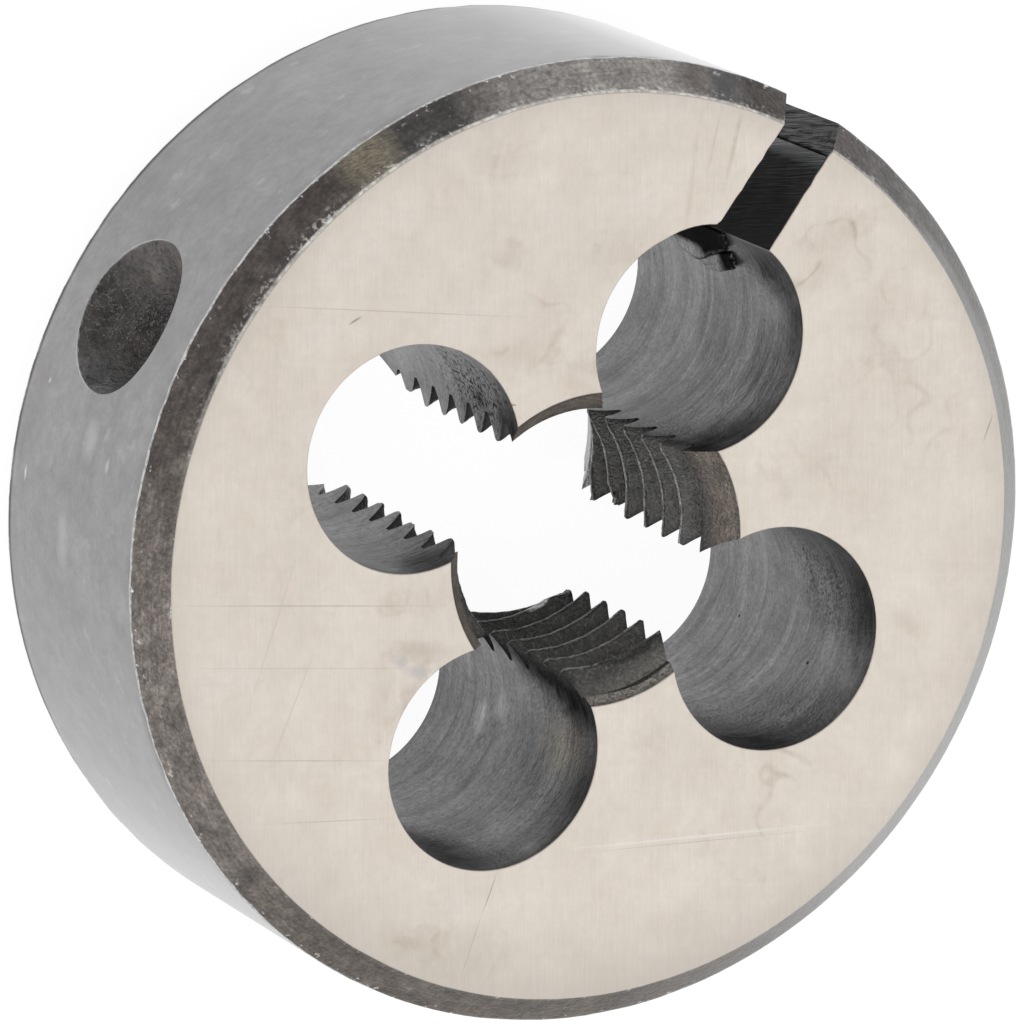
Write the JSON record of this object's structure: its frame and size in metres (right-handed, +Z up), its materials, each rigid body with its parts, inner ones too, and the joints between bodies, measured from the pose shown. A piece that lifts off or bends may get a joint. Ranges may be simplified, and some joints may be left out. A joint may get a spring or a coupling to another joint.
{
  "type": "round threading die",
  "caption": "Round split threading die: a chamfered steel disc with a threaded bore, chip holes and a slot through its rim, for cutting an outside thread on a rod.",
  "frame": {"origin": "middle of the back face, on which the die lies", "axes": "+Z up along the bore towards the front face, +Y towards the slot, +X to the right seen from the front face"},
  "size_m": [0.0254, 0.0254, 0.0095],
  "materials": {
    "die_steel": "hardened high-speed steel, faces ground, rim and holes darker from the heat treatment"
  },
  "bodies": {
    "root": {"die_body": "die_steel"}
  },
  "joints": []
}
